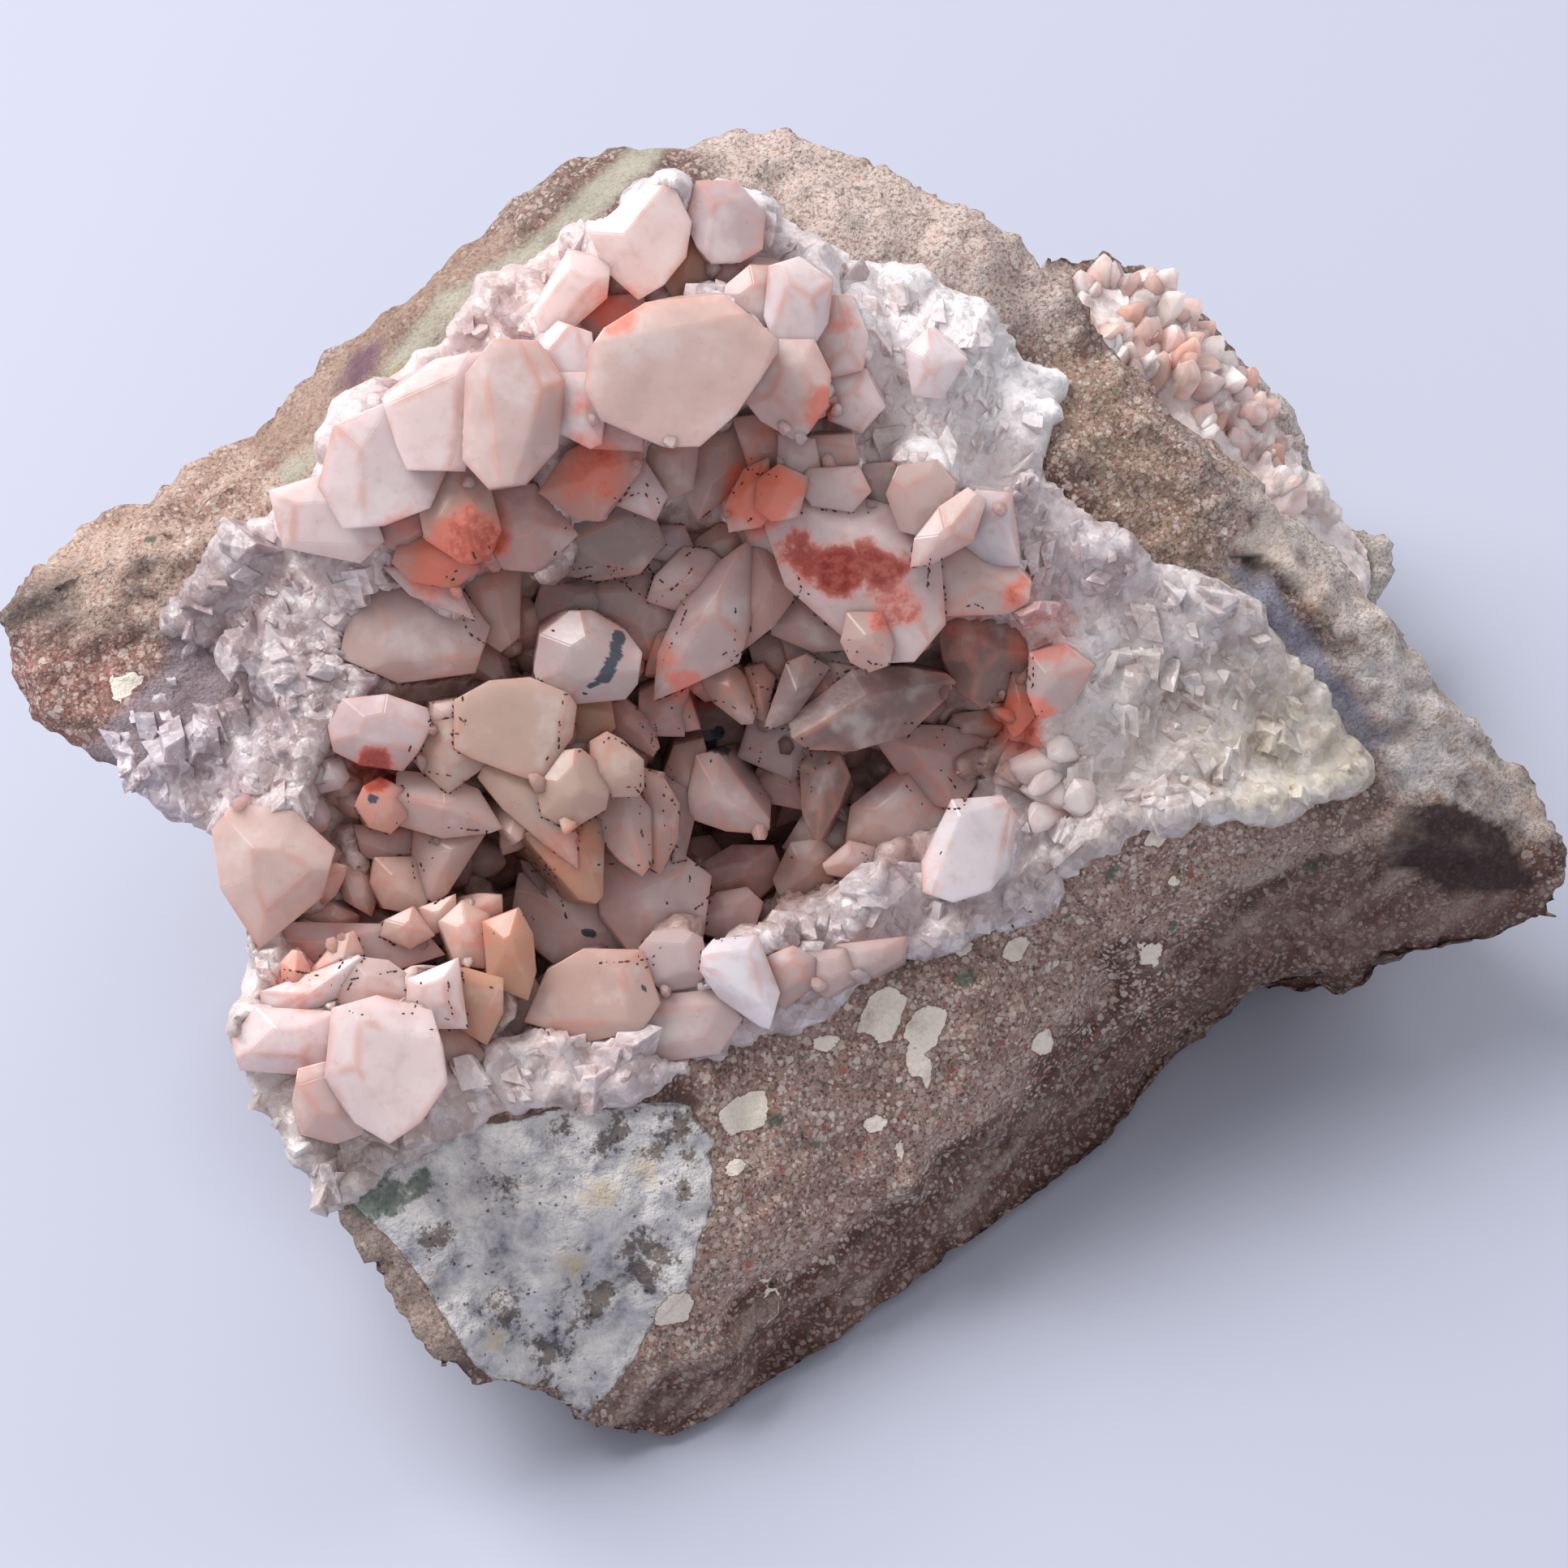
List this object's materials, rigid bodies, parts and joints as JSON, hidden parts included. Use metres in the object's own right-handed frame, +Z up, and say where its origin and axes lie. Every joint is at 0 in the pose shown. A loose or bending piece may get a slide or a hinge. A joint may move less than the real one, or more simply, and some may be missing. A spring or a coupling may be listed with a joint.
{
  "type": "calcite crystal pocket",
  "caption": "Broken piece of brown breccia with an open hollow lined with pale pink and white calcite crystals, resting on a flat foot.",
  "frame": {"origin": "under the middle of the object, on the plane of its flat foot", "axes": "+X along the object's length, -Y towards the side that the hollow faces, +Z up"},
  "size_m": [0.1134, 0.0936, 0.065],
  "materials": {
    "rock": "rough broken breccia, brown and grey with cream clasts",
    "calcite": "translucent calcite, white to pale pink with orange-red stains"
  },
  "bodies": {
    "root": {"host_rock": "rock", "pocket_crystals": "calcite", "back_pocket_crystals": "calcite"}
  },
  "joints": []
}
